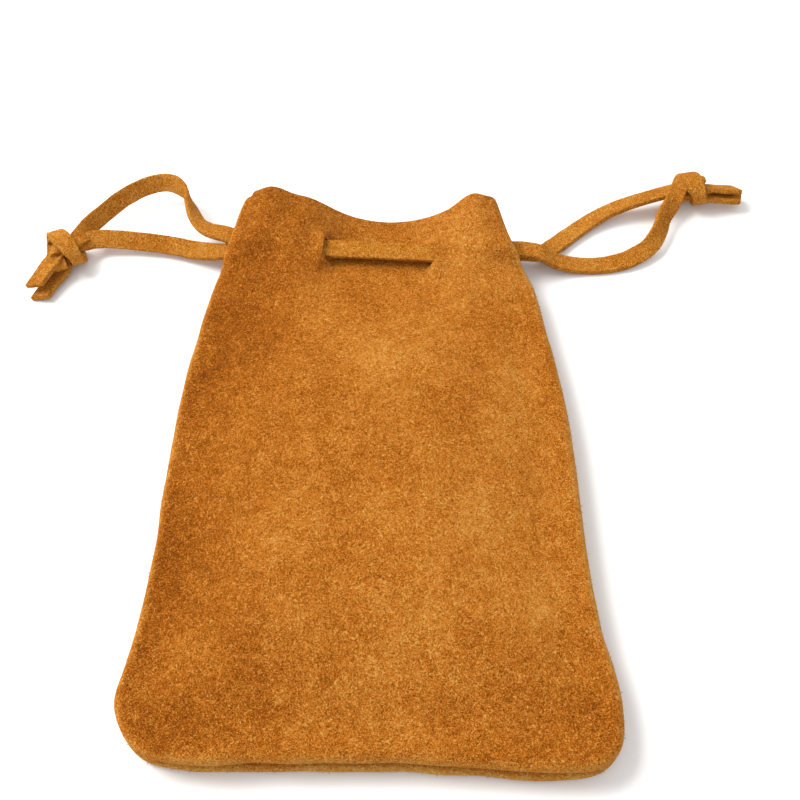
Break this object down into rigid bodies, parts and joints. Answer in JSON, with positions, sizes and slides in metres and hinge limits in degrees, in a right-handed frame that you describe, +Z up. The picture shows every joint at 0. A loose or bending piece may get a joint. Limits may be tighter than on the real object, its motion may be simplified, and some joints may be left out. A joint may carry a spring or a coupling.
{
  "type": "suede drawstring pouch",
  "caption": "Flat suede pouch with rolled turned edges, an eared mouth and flat suede laces threaded round the neck and knotted at each side.",
  "frame": {"origin": "under the middle of the pouch's outline, without its free lace ends, on the surface it lies on", "axes": "+X to the right side of the pouch seen from its front, +Y towards its mouth, +Z up out of its front face"},
  "size_m": [0.188, 0.159, 0.018],
  "materials": {
    "suede": "napped suede, matt",
    "lace_suede": "napped suede strip, matt",
    "thread": "twisted polyester"
  },
  "bodies": {
    "root": {"front_panel": "suede", "back_panel": "suede", "needle_thread": "thread", "bobbin_thread": "thread", "left_lace": "lace_suede", "left_lace_upper_end": "lace_suede", "left_lace_lower_end": "lace_suede", "left_lace_knot": "lace_suede", "left_lace_front_tail": "lace_suede", "left_lace_back_tail": "lace_suede", "right_lace": "lace_suede", "right_lace_upper_end": "lace_suede", "right_lace_lower_end": "lace_suede", "right_lace_knot": "lace_suede", "right_lace_front_tail": "lace_suede", "right_lace_back_tail": "lace_suede"}
  },
  "joints": []
}
